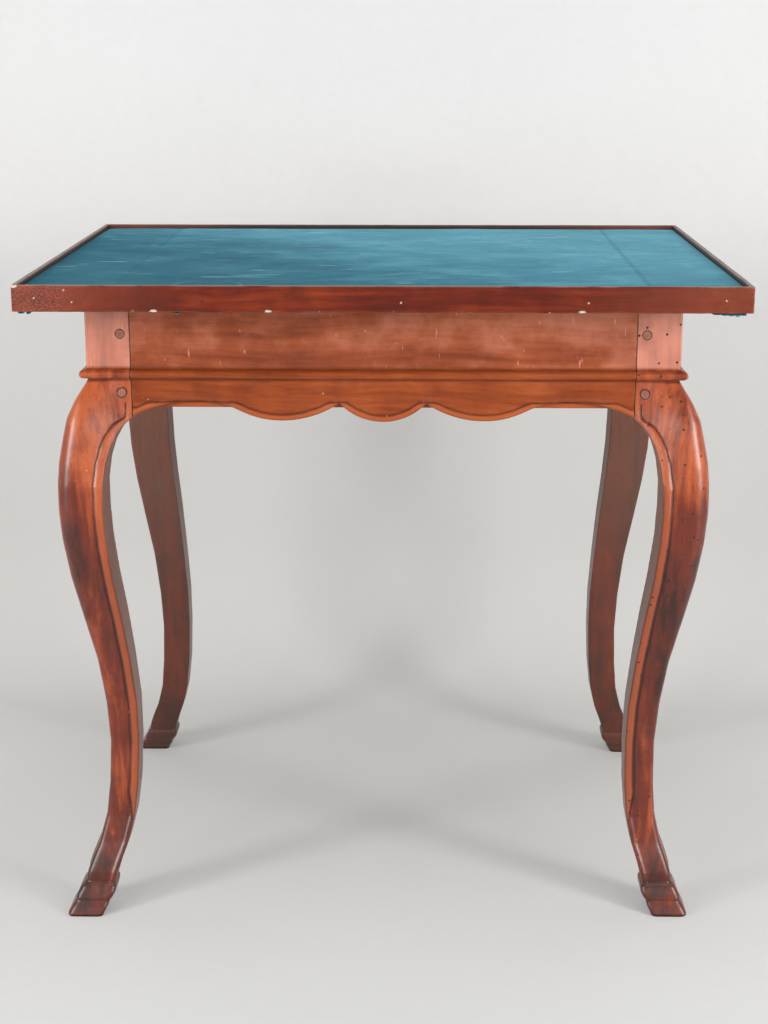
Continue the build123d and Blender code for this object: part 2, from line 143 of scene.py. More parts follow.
class Surface(NodeKit):
    # a material: its colour, roughness and height are built up layer by layer
    def __init__(self, name, **fixed):
        self.material = bpy.data.materials.new(name)
        self.material.use_nodes = True
        super().__init__(self.material.node_tree)
        self.shader = self.tree.nodes["Principled BSDF"]
        for socket, value in fixed.items():
            self.shader.inputs[socket.replace("_", " ")].default_value = value
        self.place = self.add("ShaderNodeTexCoord", out="Object")
        self.colour = None
        self.rough = None
        self.height = None

    def ramp(self, value, positions, colours):
        return self.add("ShaderNodeValToRGB", {"stops": tuple(zip(positions, colours))}, {0: value})

    def cover(self, share, colour):
        # lays a colour over what is there
        self.colour = self.mix(share, self.colour, colour)

    def feed(self, socket, wire):
        self.tree.links.new(wire.socket, self.shader.inputs[socket])

    def relief(self, distance, strength):
        sockets = {"Height": self.height, "Distance": distance, "Strength": strength}
        self.feed("Normal", self.add("ShaderNodeBump", sockets=sockets))


def tint(red, green, blue):
    # a colour given in everyday 0 to 255 steps, as the shaders want it
    steps = [step / 255 for step in (red, green, blue)]
    return tuple(step / 12.92 if step < 0.04 else ((step + 0.055) / 1.055) ** 2.4 for step in steps)


print("helpers ready")

# stained fruitwood with a shine rubbed thin, and painted light and shade on some parts, for legs, aprons,
# rails and pegs

wood = {
    # dark, middle and light of the grain
    "leg": (tint(52, 10, 0), tint(108, 33, 3), tint(180, 84, 38)),
    "apron": (tint(110, 42, 12), tint(148, 68, 26), tint(176, 92, 50)),
    "rail": (tint(54, 10, 0), tint(92, 22, 0), tint(136, 50, 14)),
    "board": (tint(84, 44, 26), tint(128, 76, 48), tint(164, 110, 76)),
    "peg": (tint(116, 70, 56), tint(150, 98, 82), tint(174, 120, 104)),
    # what lies over it: wear and dirt, and painted shade, highlights, sheen and reflections
    "dirt": tint(26, 9, 6),
    "bare": tint(206, 140, 108),
    "crest": tint(186, 92, 46),
    "groove": tint(58, 20, 12),
    "rosy": tint(214, 144, 124),
    "raw": tint(126, 92, 78),
    "rawDark": tint(84, 54, 42),
    "railInside": tint(58, 40, 36),
    "railEnd": tint(168, 86, 60),
    "rim": tint(128, 115, 108),
    "crazed": tint(186, 126, 114),
    "hole": tint(14, 6, 4),
    "chip": tint(206, 190, 178),
}

# the patterns: scale, detail and roughness
grain = {
    "waver": 3.0,
    "waverReach": 0.05,
    "broad": (26.0, 4.0, 0.55),
    "streak": (160.0, 4.0, 0.6),
    "fibre": (680.0, 2.0, 0.6),
    "patch": (6.0, 3.0, 0.55),
    "blotch": (28.0, 3.0, 0.6),
    "stain": (12.0, 4.0, 0.6),
    "uneven": (15.0, 2.0, 0.5),
    "scratch": (190.0, 2.0, 0.5),
    "crumb": (520.0, 3.0, 0.7),
    "chipping": (95.0, 3.0, 0.7),
    "toneShares": {"broad": 0.36, "streak": 0.26, "patch": 0.22, "blotch": 0.16},
    "heightShares": {"broad": 0.25, "streak": 0.25, "fibre": 0.12},
    "stops": (0.38, 0.5, 0.63),
    "rough": 0.34,
    "blotchDull": 0.16,
    "fibreDull": 0.25,
    "unevenShare": 1.4,
    "relief": (0.0006, 0.4),
}

# signs of age, and painted light and shade: a pair runs from none to full, heights in metres, and a single
# number is a strength
age = {
    "knees": (0.44, 0.6),
    "kneesPaintedLight": 0.09,
    "shanks": (0.52, 0.38),
    "shanksPaintedShade": 0.05,
    "feet": (0.07, 0.02),
    "feetDarker": 0.03,
    "fibre": (0.44, 0.3),
    "fibreDark": 0.4,
    "stain": (0.55, 0.72),
    "stainDark": 0.45,
    "flat": (0.6475, 0.652),
    "flatSheen": (0.4, 0.62),
    "flatLeast": 0.04,
    "flatMore": 0.26,
    "blockMore": 0.42,
    "flatDull": 0.12,
    "scratch": (0.7, 0.76),
    "scratchPale": 0.6,
    "crest": (0.5, 0.2),
    "crestPale": 0.5,
    "groove": (0.16, 0.03),
    "groovePaintedShade": 0.62,
    "edgeReach": 0.0035,
    "edge": (0.72, 0.4),
    "edgeWhere": (0.34, 0.52),
    "edgePale": 0.7,
    "pegEdgePale": 0.15,
    "nookReach": 0.006,
    "nook": (0.86, 0.46),
    "seamReach": 0.0036,
    "seam": (0.97, 0.8),
    "seamShare": 0.8,
    "dirtAndShadeDark": 0.82,
    "pegDirtAndShadeDark": 0.35,
    "dirtDull": 0.3,
    "scuffScale": 55.0,
    "scuffRadius": 0.001,
    "scuffWhere": (0.5, 0.58),
    "scuffPale": 0.6,
    "scuffDepth": 0.6,
    "holeScale": 86.0,
    "holeRadius": 0.0017,
    "holeDepth": 2.5,
    "holeDull": 0.3,
    "inner": (0.35, 0.6),
    "innerHeight": (0.24, 0.5),
    "innerLeast": 0.25,
    "innerMore": 0.55,
    "innerDull": 0.3,
}

# the rails: spans as above, among them the painted reflection on the rims; nail heads, painted as glints,
# and chips as places along and up the front
railAge = {
    "inside": (0.5, 0.8),
    "insideDark": 0.8,
    "hands": (0.17, 0.38),
    "rim": (0.6, 0.9),
    "rimDull": 0.15,
    "arris": (0.7485, 0.7495),
    "arrisWhere": (0.38, 0.5),
    "foot": (0.7245, 0.7212),
    "chipping": (0.69, 0.74),
    "chippingPale": 0.85,
    "chippingDepth": 1.5,
    "front": -0.305,
    "nails": (
        (-0.3705, 0.736),
        (-0.33, 0.7318),
        (-0.3386, 0.7447),
        (0.0208, 0.7318),
        (0.2196, 0.7318),
        (0.3653, 0.735),
    ),
    "chips": ((-0.243, 0.7222), (-0.1207, 0.722), (0.2132, 0.7222), (-0.3915, 0.7486)),
    "nailReach": 0.0033,
    "chipReach": 0.0042,
    "chipFlat": 0.5,
    "markSoft": 0.0005,
    "markRagged": 0.005,
    "crazedFrom": (-0.3, -0.37),
    "crazed": (0.46, 0.64),
    "crazedPale": 0.3,
}


def grainBands(surface, place, along, stretch):
    # long along the wood, and wavering
    shares = [1.0, 1.0, 1.0]
    shares[along] = stretch
    sockets = {"Vector": place, "Scale": grain["waver"], "Detail": 2.0}
    waver = surface.add("ShaderNodeTexNoise", sockets=sockets, out="Color")
    waver = surface.vector("SUBTRACT", waver, (0.5, 0.5, 0.5))
    waver = surface.stretched(waver, (grain["waverReach"],) * 3)
    long = surface.stretched(surface.vector("ADD", place, waver), tuple(shares))
    bands = {band: surface.noise(long, *grain[band]) for band in ("broad", "streak", "fibre")}
    bands.update({band: surface.noise(place, *grain[band]) for band in ("patch", "blotch")})
    return bands


def addUp(bands, shares):
    total = 0
    for band, share in shares.items():
        total = bands[band] * share + total
    return total


def sheenAndScratchFlatParts(surface, kind, place, z, bands):
    # the flat part over the bead is rougher and gets a rosy painted sheen, the leg blocks most of all; pale
    # scratches lie over it
    flat = surface.step(z, *age["flat"])
    where = surface.step(bands["blotch"] * 0.5 + bands["broad"] * 0.5, *age["flatSheen"])
    rosySheen = flat * (age["flatLeast"] + where * age["flatMore"])
    if kind == "leg":
        rosySheen = rosySheen + flat * age["blockMore"]
    surface.cover(rosySheen, wood["rosy"])
    surface.rough = surface.rough + flat * age["flatDull"]
    upright = surface.stretched(place, (1.0, 1.0, 0.25))
    scratch = surface.step(surface.noise(upright, *grain["scratch"]), *age["scratch"])
    surface.cover(scratch * flat * age["scratchPale"], wood["rosy"])


def colourCarvedEdge(surface):
    # an orange crest, part wear and part painted highlight, and a dark groove beside it in painted shade,
    # from the shares that carveEdge leaves on the mesh
    edge = surface.add("ShaderNodeAttribute", {"attribute_name": "edge"}, out="Fac")
    crest = surface.step(abs(edge - 0.5), *age["crest"])
    surface.cover(crest * age["crestPale"], wood["crest"])
    groove = surface.step(abs(edge - 1.1), *age["groove"])
    surface.cover(groove * age["groovePaintedShade"], wood["groove"])


def wearEdges(surface, kind, bands):
    rubbed = surface.step(surface.nook(age["edgeReach"], True), *age["edge"])
    rubbed = rubbed * surface.step(bands["blotch"], *age["edgeWhere"])
    surface.cover(rubbed * age["pegEdgePale" if kind == "peg" else "edgePale"], wood["bare"])


def darkenCrevicesDirtAndShade(surface, kind):
    # crevices, seams and the lines above and below the bead are darkened by occlusion: partly dirt, partly
    # painted shade
    nook = surface.step(surface.nook(age["nookReach"]), *age["nook"])
    seam = surface.step(surface.nook(age["seamReach"]), *age["seam"]) * age["seamShare"]
    crevice = surface.larger(nook, seam)
    surface.cover(crevice * age["pegDirtAndShadeDark" if kind == "peg" else "dirtAndShadeDark"], wood["dirt"])
    surface.rough = surface.rough + crevice * age["dirtDull"]
    return crevice


def boreWormholes(surface, place):
    # each hole is painted near black, as painted shade inside it
    hole = surface.specks(place, age["holeScale"], age["holeRadius"])
    surface.cover(hole, wood["hole"])
    surface.height = surface.height - hole * age["holeDepth"]
    surface.rough = surface.rough + hole * age["holeDull"]


def markFront(surface, x, crumb):
    # nail heads painted as pale glints, and chips as pale wear, each a small ragged spot
    glintsAndChips = None
    nails = (railAge["nails"], 1.0, railAge["nailReach"])
    chips = (railAge["chips"], railAge["chipFlat"], railAge["chipReach"])
    for places, flatten, reach in (nails, chips):
        away = None
        squeezed = surface.stretched(surface.place, (flatten, 1.0, 1.0))
        for markX, markZ in places:
            centre = (markX * flatten, railAge["front"], markZ)
            one = surface.vector("DISTANCE", squeezed, centre, out="Value")
            away = surface.maths("MINIMUM", away, one) if away else one
        ragged = away + crumb * railAge["markRagged"]
        spot = surface.step(ragged, reach + railAge["markSoft"], reach - railAge["markSoft"])
        glintsAndChips = surface.larger(glintsAndChips, spot) if glintsAndChips else spot
    surface.cover(glintsAndChips, wood["chip"])
    # the left end is crazed and pinkish
    crazed = surface.step(x, *railAge["crazedFrom"]) * surface.step(crumb, *railAge["crazed"])
    surface.cover(crazed * railAge["crazedPale"], wood["crazed"])
    surface.height = surface.height + crazed * 0.5 - glintsAndChips


def ageRail(surface, along, inward, place, x, z, bands, marked):
    blotch = bands["blotch"]
    inside = surface.step(surface.facing(inward), *railAge["inside"])
    surface.cover(inside * railAge["insideDark"], wood["railInside"])
    if along == 0:
        # paler towards the ends, where hands lift the tray
        ends = surface.step(abs(x), *railAge["hands"]) * (0.1 + blotch * 0.4)
        surface.cover(ends, wood["railEnd"])
    # the tops of the rails and their top arris are painted pale grey as a painted reflection; the tops are
    # also made rougher
    top = surface.step(surface.facing((0.0, 0.0, 1.0)), *railAge["rim"])
    surface.cover(top * (0.5 + blotch * 0.5), wood["rim"])
    surface.rough = surface.rough + top * railAge["rimDull"]
    arris = surface.step(z, *railAge["arris"]) * surface.step(blotch, *railAge["arrisWhere"])
    surface.cover(arris * 0.5, wood["rim"])
    low = surface.step(z, *railAge["foot"])
    chipped = surface.step(surface.noise(place, *grain["chipping"]), *railAge["chipping"]) * low
    if marked:
        markFront(surface, x, surface.noise(place, *grain["crumb"]))
    surface.cover(chipped * railAge["chippingPale"], wood["chip"])
    surface.height = surface.height - chipped * railAge["chippingDepth"]


def woodSurface(
    name, kind, along, stretch=0.06, shift=0.0, inward=None, wormy=False, marked=False, shine=0.3
):
    # along: the axis that the grain follows; shift: another part of the pattern for each piece
    surface = Surface(name, Coat_Roughness=0.3, Specular_IOR_Level=0.22)
    x, y, z = surface.axes(surface.place)
    place = surface.place
    if shift:
        place = surface.vector("ADD", place, (shift, shift * 0.7, shift * 1.3))
    bands = grainBands(surface, place, along, stretch)
    dark, middle, light = wood[kind]
    tone = addUp(bands, grain["toneShares"])
    if kind == "leg":
        # painted light on the knees, as lit from above, and painted shade on the shanks, which are darkest
        tone = tone + surface.step(z, *age["knees"]) * age["kneesPaintedLight"]
        tone = tone - surface.step(z, *age["shanks"]) * age["shanksPaintedShade"]
        tone = tone - surface.step(z, *age["feet"]) * age["feetDarker"]
    surface.colour = surface.ramp(tone, grain["stops"], (dark, middle, light))
    fibreDark = surface.step(bands["fibre"], *age["fibre"]) * age["fibreDark"]
    surface.cover(fibreDark, dark)
    stain = surface.step(surface.noise(place, *grain["stain"]), *age["stain"])
    surface.cover(stain * age["stainDark"], dark)
    surface.rough = grain["rough"] + bands["blotch"] * grain["blotchDull"] + fibreDark * grain["fibreDull"]
    if kind in ("leg", "apron"):
        sheenAndScratchFlatParts(surface, kind, place, z, bands)
        colourCarvedEdge(surface)
    wearEdges(surface, kind, bands)
    coat = 1 - darkenCrevicesDirtAndShade(surface, kind)
    # small pale scuffs
    scuff = surface.specks(place, age["scuffScale"], age["scuffRadius"])
    scuff = scuff * surface.step(bands["patch"], *age["scuffWhere"])
    surface.cover(scuff * age["scuffPale"], wood["chip"])
    uneven = surface.noise(place, *grain["uneven"]) * grain["unevenShare"]
    surface.height = addUp(bands, grain["heightShares"]) + uneven - scuff * age["scuffDepth"]
    if wormy:
        boreWormholes(surface, place)
    if kind == "rail":
        ageRail(surface, along, inward, place, x, z, bands, marked)
    elif inward:
        # faces turned in to the middle of the table were stained thinly, least of all high up
        high = age["innerLeast"] + surface.step(z, *age["innerHeight"]) * age["innerMore"]
        inner = surface.step(surface.facing(inward), *age["inner"]) * high
        surface.cover(inner, surface.mix(bands["streak"], wood["raw"], wood["rawDark"]))
        surface.rough = surface.rough + inner * age["innerDull"]
        coat = coat * (1 - inner)
    surface.feed("Base Color", surface.colour)
    surface.feed("Roughness", surface.rough)
    if shine:
        surface.feed("Coat Weight", coat * shine)
    surface.relief(*grain["relief"])
    return surface.material


# woollen cloth, rubbed, with a painted sheen and painted shade; lengths in metres

cloth = {
    "deep": tint(28, 90, 108),
    "middle": tint(56, 122, 142),
    "pale": tint(100, 164, 182),
    "scuff": tint(158, 204, 216),
    "stain": tint(26, 74, 92),
    "lining": tint(48, 92, 100),
    "stops": (0.36, 0.5, 0.66),
    "patch": (5.0, 4.0, 0.6),
    "cloud": (17.0, 4.0, 0.6),
    "nap": (1100.0, 2.0, 0.6),
    "stroke": (210.0, 3.0, 0.62),
    "strokeFine": (520.0, 2.0, 0.6),
    "nick": (120.0, 2.0, 0.5),
    "area": (9.0, 2.0, 0.5),
    "nickArea": (13.0, 1.0, 0.5),
    "paintedSheen": (-0.3, 0.4),
    "paintedSheenPale": 0.7,
    "paintedShadeSpan": (0.05, -0.4),
    "paintedShadeDeep": 0.8,
    "seams": (-0.2895, 0.2895),
    "seamWidth": 0.005,
    "seamDark": 0.3,
    "longSeam": 0.0419,
    "longSeamWidth": 0.004,
    "longSeamDark": 0.22,
    "rings": ((-0.19, -0.26, 0.036), (0.16, 0.2, 0.031), (-0.27, 0.12, 0.034)),
    "ringLevel": 0.7445,
    "ringWidth": (0.0035, 0.001),
    "ringPale": 0.22,
    "edgeReach": 0.02,
    "railShadeDark": 0.55,
    "relief": (0.0005, 0.5),
}


def wearSheenAndShadeTopCloth(surface, cloud):
    place = surface.place
    x, y, z = surface.axes(place)
    # a painted sheen, paler to the back and right, and painted shade, deeper at the front left
    paintedSheen = surface.step(x * 0.9 + y, *cloth["paintedSheen"])
    surface.cover(paintedSheen * cloth["paintedSheenPale"], cloth["pale"])
    surface.cover(surface.step(x + y * 0.8, *cloth["paintedShadeSpan"]) * cloth["paintedShadeDeep"], cloth["deep"])
    # the nap is laid flat in short strokes across the table
    stroke = surface.noise(surface.stretched(place, (0.16, 1.0, 1.0)), *cloth["stroke"])
    strokeFine = surface.noise(surface.stretched(place, (0.08, 1.0, 1.0)), *cloth["strokeFine"])
    area = surface.step(surface.noise(place, *cloth["area"]), 0.48, 0.62)
    laid = surface.step(stroke, 0.57, 0.7) * (0.15 + area * 0.75) * (0.3 + paintedSheen * 0.7)
    surface.cover(laid * 0.75, cloth["scuff"])
    surface.cover(surface.step(strokeFine, 0.58, 0.78) * 0.16, cloth["scuff"])
    # a few longer pale strokes, as nails leave
    nick = surface.noise(surface.stretched(place, (0.1, 1.0, 1.0)), *cloth["nick"])
    nickArea = surface.step(surface.noise(place, *cloth["nickArea"]), 0.5, 0.58)
    surface.cover(surface.step(nick, 0.66, 0.7) * nickArea * 0.5, cloth["scuff"])
    surface.cover(surface.step(stroke, 0.42, 0.28) * 0.4, cloth["stain"])
    # the seams of the boards show through
    for seam in cloth["seams"]:
        line = surface.step(abs(x - seam), cloth["seamWidth"], 0.0)
        surface.cover(line * cloth["seamDark"], cloth["deep"])
        surface.height = surface.height - line * 0.6
    line = surface.step(abs(y - cloth["longSeam"]), cloth["longSeamWidth"], 0.0)
    surface.cover(line * cloth["longSeamDark"], cloth["deep"])
    surface.height = surface.height - line * 0.5
    # faint rings where something round stood
    for ringX, ringY, ringRadius in cloth["rings"]:
        away = surface.vector("DISTANCE", place, (ringX, ringY, cloth["ringLevel"]), out="Value")
        ring = surface.step(abs(away - ringRadius), *cloth["ringWidth"])
        surface.cover(ring * surface.step(cloud, 0.4, 0.6) * cloth["ringPale"], cloth["pale"])
    # darker next to the rails, where they stand over the cloth: painted shade, in the stain colour
    edge = surface.step(surface.nook(cloth["edgeReach"]), 0.85, 0.45)
    surface.cover(edge * cloth["railShadeDark"], cloth["stain"])


def clothSurface(name, top=True):
    surface = Surface(name, Sheen_Weight=0.03, Sheen_Roughness=0.5, IOR=1.06, Roughness=0.95)
    place = surface.place
    patch = surface.noise(place, *cloth["patch"])
    cloud = surface.noise(surface.stretched(place, (0.6, 1.0, 1.0)), *cloth["cloud"])
    nap = surface.noise(place, *cloth["nap"])
    colours = (cloth["deep"], cloth["middle"], cloth["pale"])
    surface.colour = surface.ramp(patch * 0.5 + cloud * 0.5, cloth["stops"], colours)
    surface.height = nap * 0.4 + cloud * 0.5
    if top:
        wearSheenAndShadeTopCloth(surface, cloud)
    else:
        surface.cover(0.6, cloth["lining"])
    surface.cover(surface.step(nap, 0.55, 0.72) * 0.1, cloth["scuff"])
    surface.feed("Base Color", surface.colour)
    surface.relief(*cloth["relief"])
    return surface.material


iron = {"dark": tint(48, 20, 12), "rust": tint(112, 62, 42), "spots": (800.0, 3.0, 0.6)}


def ironSurface(name):
    surface = Surface(name, Metallic=0.2, Specular_IOR_Level=0.3)
    rust = surface.noise(surface.place, *iron["spots"])
    surface.feed("Base Color", surface.mix(rust, iron["dark"], iron["rust"]))
    surface.feed("Roughness", 0.4 + rust * 0.3)
    return surface.material


inwardOf = {
    "front_left": (0.7, 0.7, 0.0),
    "front_right": (-0.7, 0.7, 0.0),
    "back_left": (0.7, -0.7, 0.0),
    "back_right": (-0.7, -0.7, 0.0),
    "front": (0.0, 1.0, 0.0),
    "back": (0.0, -1.0, 0.0),
    "left": (1.0, 0.0, 0.0),
    "right": (-1.0, 0.0, 0.0),
}
corners = ("front_left", "front_right", "back_left", "back_right")
alongOf = {"front": 0, "back": 0, "left": 1, "right": 1}
legWood, apronWood, railWood = {}, {}, {}
for index, corner in enumerate(corners):
    wormy = corner == "front_right"
    legWood[corner] = woodSurface(
        "legWood_" + corner, "leg", 2, 0.08, 0.3 * index, inwardOf[corner], wormy=wormy, shine=0.75
    )
for index, (side, along) in enumerate(alongOf.items()):
    apronWood[side] = woodSurface(
        "apronWood_" + side, "apron", along, 0.07, 1.7 + index, inwardOf[side], shine=0.12
    )
    marked = side == "front"
    railWood[side] = woodSurface(
        "railWood_" + side, "rail", along, 0.06, 5.1 + index, inwardOf[side], marked=marked, shine=0.12
    )
boardWoodX = woodSurface("boardWoodX", "board", 0, shift=9.0, shine=0.0)
boardWoodY = woodSurface("boardWoodY", "board", 1, shift=9.5, shine=0.0)
pegWood = woodSurface("pegWood", "peg", 2, 1.0, 3.3, shine=0.1)
bradIron = ironSurface("bradIron")
baize = clothSurface("baize")
lining = clothSurface("lining", top=False)
print("materials ready")

finish = {
    "pegs_": pegWood,
    "locating_dowels": pegWood,
    "tray_board_": boardWoodX,
    "tray_end_": boardWoodY,
    "brads_": bradIron,
    "baize_": lining,
}
finish.update({"leg_" + corner: material for corner, material in legWood.items()})
finish.update({"apron_" + side: material for side, material in apronWood.items()})
finish.update({"tray_rail_" + side: material for side, material in railWood.items()})
for name, node in nodes.items():
    for start, material in finish.items():
        if name.startswith(start):
            node.data.materials.clear()
            node.data.materials.append(material)

# legs, aprons and rails with their corners rubbed round, in place of the sharp ones

legWear = {
    "voxel": 0.0012,
    "smooth": 3,
    "rough": 0.0003,
    "grain": 0.03,
    "round": 60,  # passes over the outer side
    "slice": 0.004,
    "clear": 0.014,  # kept sharp beside the carved edges
    "blend": 0.01,
    "top": 0.63,
    "topBlend": 0.02,
    "foot": 0.03,
}
apronWear = {"voxel": 0.0013, "smooth": 1, "rough": 0.0002, "grain": 0.05, "longer": 1.0018}
railWear = {"voxel": 0.0012, "smooth": 3, "rough": 0.0005, "grain": 0.03}
farOff = 9  # metres, past any piece


def clamp(value):
    return max(0, min(1, value))


def cornerTurns(points):
    # the way out from the middle of the table, along x and along y
    return [1 if sum(point[axis] for point in points) > 0 else -1 for axis in (0, 1)]


def roundOuterSide(piece, wear):
    # planed rounder away from the two carved edges, which are the ones nearest the middle of the table
    points = [vertex.co for vertex in piece.data.vertices]
    turnX, turnY = cornerTurns(points)
    nearX, nearY = {}, {}
    for point in points:
        level = round(point.z / wear["slice"])
        nearX[level] = min(nearX.get(level, farOff), point.x * turnX)
        nearY[level] = min(nearY.get(level, farOff), point.y * turnY)
    outer = piece.vertex_groups.new(name="outer")
    for index, point in enumerate(points):
        level = round(point.z / wear["slice"])
        fromX = (point.x * turnX - nearX[level] - wear["clear"]) / wear["blend"]
        fromY = (point.y * turnY - nearY[level] - wear["clear"]) / wear["blend"]
        fromEnds = min((wear["top"] - point.z) / wear["topBlend"], point.z / wear["foot"] - 1)
        weight = clamp(fromX) * clamp(fromY) * clamp(fromEnds)
        if weight > 0:
            outer.add([index], weight, "REPLACE")
    planed = piece.modifiers.new("planed", "SMOOTH")
    planed.vertex_group = "outer"
    planed.factor = 0.5
    planed.iterations = wear["round"]
    bpy.ops.object.modifier_apply(modifier="planed")
    piece.vertex_groups.clear()


# the carved edge of legs and aprons, stronger than the solids have it: every point gets its distance from
# the edge, as a share of the moulding's width, for the shape here and for the colour in the material

carving = {
    "slice": 0.002,
    "junction": 0.599,  # over this height the leg's line runs straight on, past the seam with the apron
    "leanSlices": 4,
    "slopeBefore": 2,
    "slopeAfter": 3,
    "legWidth": 0.0098,
    "legTopWidth": 0.0068,
    "legTop": 0.575,
    "legTopBlend": 0.02,
    "legEnd": 0.61,
    "ankle": 0.1,
    "ankleBlend": 0.04,
    "apronWidth": 0.0066,
    "least": 0.001,
    "raisedFrom": 0.0067,  # narrower mouldings keep the height that the solids give them
    "solidHalf": 0.00325,
    "solidRelief": 0.0016,
    "crest": 0.0015,
    "crestPower": 0.6,
    "groove": 0.0009,
    "grooveShare": 0.28,
    "facing": (0.5, 0.75),
    "off": 5,  # the share given to points outside the carving
}


def edgeLine(points, sliceAxis, reachAxis, turn, junction=None):
    near = {}
    for point in points:
        level = round(point[sliceAxis] / carving["slice"])
        near[level] = min(near.get(level, farOff), point[reachAxis] * turn)
    if junction:
        last = round(junction / carving["slice"])
        lean = (near[last] - near[last - carving["leanSlices"]]) / carving["leanSlices"]
        for level in near:
            if level > last:
                near[level] = near[last] + lean * (level - last)
    return near


def fromEdge(point, near, sliceAxis, reachAxis, turn):
    level = point[sliceAxis] / carving["slice"]
    low = floor(level)
    here, above = near.get(low), near.get(low + 1)
    if here is None or above is None:
        return farOff
    before, after = carving["slopeBefore"], carving["slopeAfter"]
    rise = near.get(low + after, above) - near.get(low - before, here)
    slope = rise / ((before + after) * carving["slice"])
    line = here + (above - here) * (level - low) + abs(slope) * carving["slice"] / 2
    return (point[reachAxis] * turn - line) / sqrt(1 + slope * slope)


def carveEdge(piece, faces):
    # faces: outward direction, slice axis, reach axis, turn, line, width as a function of the height
    least, full = carving["facing"]
    shares, moved = [], []
    shape = [(vertex.co.copy(), vertex.normal.copy()) for vertex in piece.data.vertices]
    for point, normal in shape:
        share, rise = carving["off"], 0
        for outward, sliceAxis, reachAxis, turn, near, widthAt in faces:
            out = (normal.dot(outward) - least) / (full - least)
            if out <= 0:
                continue
            away = fromEdge(point, near, sliceAxis, reachAxis, turn)
            width = widthAt(point.z)
            if width < carving["least"] or not 0 < away < width * (1 + carving["grooveShare"]):
                continue
            share = away / width
            if share >= 1:
                rise = -carving["groove"] * sin(pi * (share - 1) / carving["grooveShare"])
            elif width > carving["raisedFrom"]:
                solid = carving["solidRelief"] * max(0, 1 - abs(away / carving["solidHalf"] - 1))
                rise = max(0, carving["crest"] * sin(pi * share) ** carving["crestPower"] - solid)
            else:
                rise = 0
            rise *= min(1, out)
        shares.append(share)
        moved.extend(point + normal * rise)
    piece.data.vertices.foreach_set("co", moved)
    edge = piece.data.attributes.new("edge", "FLOAT", "POINT")
    edge.data.foreach_set("value", shares)


def legWidthAt(height):
    if height >= carving["legEnd"]:
        return 0
    low = clamp((height - carving["ankle"]) / carving["ankleBlend"])
    high = clamp((height - carving["legTop"]) / carving["legTopBlend"])
    return low * (carving["legWidth"] * (1 - high) + carving["legTopWidth"] * high)


def apronWidthAt(height):
    return carving["apronWidth"]


def carveLeg(piece):
    points = [vertex.co.copy() for vertex in piece.data.vertices]
    turnX, turnY = cornerTurns(points)
    lineX = edgeLine(points, 2, 0, turnX, carving["junction"])
    lineY = edgeLine(points, 2, 1, turnY, carving["junction"])
    faceX = (Vector((0, turnY, 0)), 2, 0, turnX, lineX, legWidthAt)
    faceY = (Vector((turnX, 0, 0)), 2, 1, turnY, lineY, legWidthAt)
    carveEdge(piece, (faceX, faceY))


def carveApron(piece, along):
    points = [vertex.co.copy() for vertex in piece.data.vertices]
    across = 1 - along
    outward = Vector((0, 0, 0))
    outward[across] = cornerTurns(points)[across]
    carveEdge(piece, ((outward, along, 2, 1, edgeLine(points, along, 2, 1), apronWidthAt),))


def rubbedCopy(nodeName, pieceName, wear, material, body):
    node = nodes[nodeName]
    bpy.ops.object.select_all(action="DESELECT")
    piece = bpy.data.objects.new(pieceName, node.data.copy())
    bpy.context.collection.objects.link(piece)
    piece.select_set(True)
    bpy.context.view_layer.objects.active = piece
    bpy.ops.object.mode_set(mode="EDIT")
    bpy.ops.mesh.select_all(action="SELECT")
    bpy.ops.mesh.remove_doubles(threshold=0.00001)
    bpy.ops.object.mode_set(mode="OBJECT")
    skin = piece.modifiers.new("skin", "REMESH")
    skin.mode = "VOXEL"
    skin.voxel_size = wear["voxel"]
    bpy.ops.object.modifier_apply(modifier="skin")
    rub = piece.modifiers.new("rub", "SMOOTH")
    rub.factor = 0.5
    rub.iterations = wear["smooth"]
    bpy.ops.object.modifier_apply(modifier="rub")
    if nodeName.startswith("leg_"):
        roundOuterSide(piece, wear)
        carveLeg(piece)
    if nodeName.startswith("apron_"):
        along = alongOf[nodeName.split("_")[1]]
        # a little longer, so that the rubbed ends still close the seams
        for vertex in piece.data.vertices:
            vertex.co[along] *= wear["longer"]
        carveApron(piece, along)
    knocks = bpy.data.textures.new(pieceName + "Knocks", "CLOUDS")
    knocks.noise_scale = wear["grain"]
    dent = piece.modifiers.new("dent", "DISPLACE")
    dent.texture = knocks
    dent.texture_coords = "LOCAL"
    dent.mid_level = 1.0
    dent.strength = wear["rough"]
    bpy.ops.object.modifier_apply(modifier="dent")
    bpy.ops.object.shade_smooth()
    piece.data.materials.clear()
    piece.data.materials.append(material)
    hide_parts(nodeName)
    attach(piece, body)


for corner, material in legWood.items():
    pieceName = "leg" + "".join(word.title() for word in corner.split("_"))
    rubbedCopy("leg_" + corner, pieceName, legWear, material, "frame")
print("legs rubbed")
for side, material in apronWood.items():
    rubbedCopy("apron_" + side, "apron" + side.title(), apronWear, material, "frame")
print("aprons rubbed")
for side, material in railWood.items():
    rubbedCopy("tray_rail_" + side, "rail" + side.title(), railWear, material, "tray")
print("rails rubbed")

# cloth on the playing surface: glued down, with low swellings over the boards


def addSheet(name, cutsX, cutsY, width, depth, level):
    bpy.ops.object.select_all(action="DESELECT")
    bpy.ops.mesh.primitive_grid_add(x_subdivisions=cutsX, y_subdivisions=cutsY, size=1, location=(0, 0, 0))
    piece = bpy.context.object
    piece.name = name
    piece.scale = (width, depth, 1)
    piece.location = (0, 0, level)
    bpy.ops.object.transform_apply(location=True, rotation=False, scale=True)
    return piece


def waveAt(*place):
    # a smooth wave from 0 to 1
    return noise.noise(Vector(place)) * 0.5 + 0.5


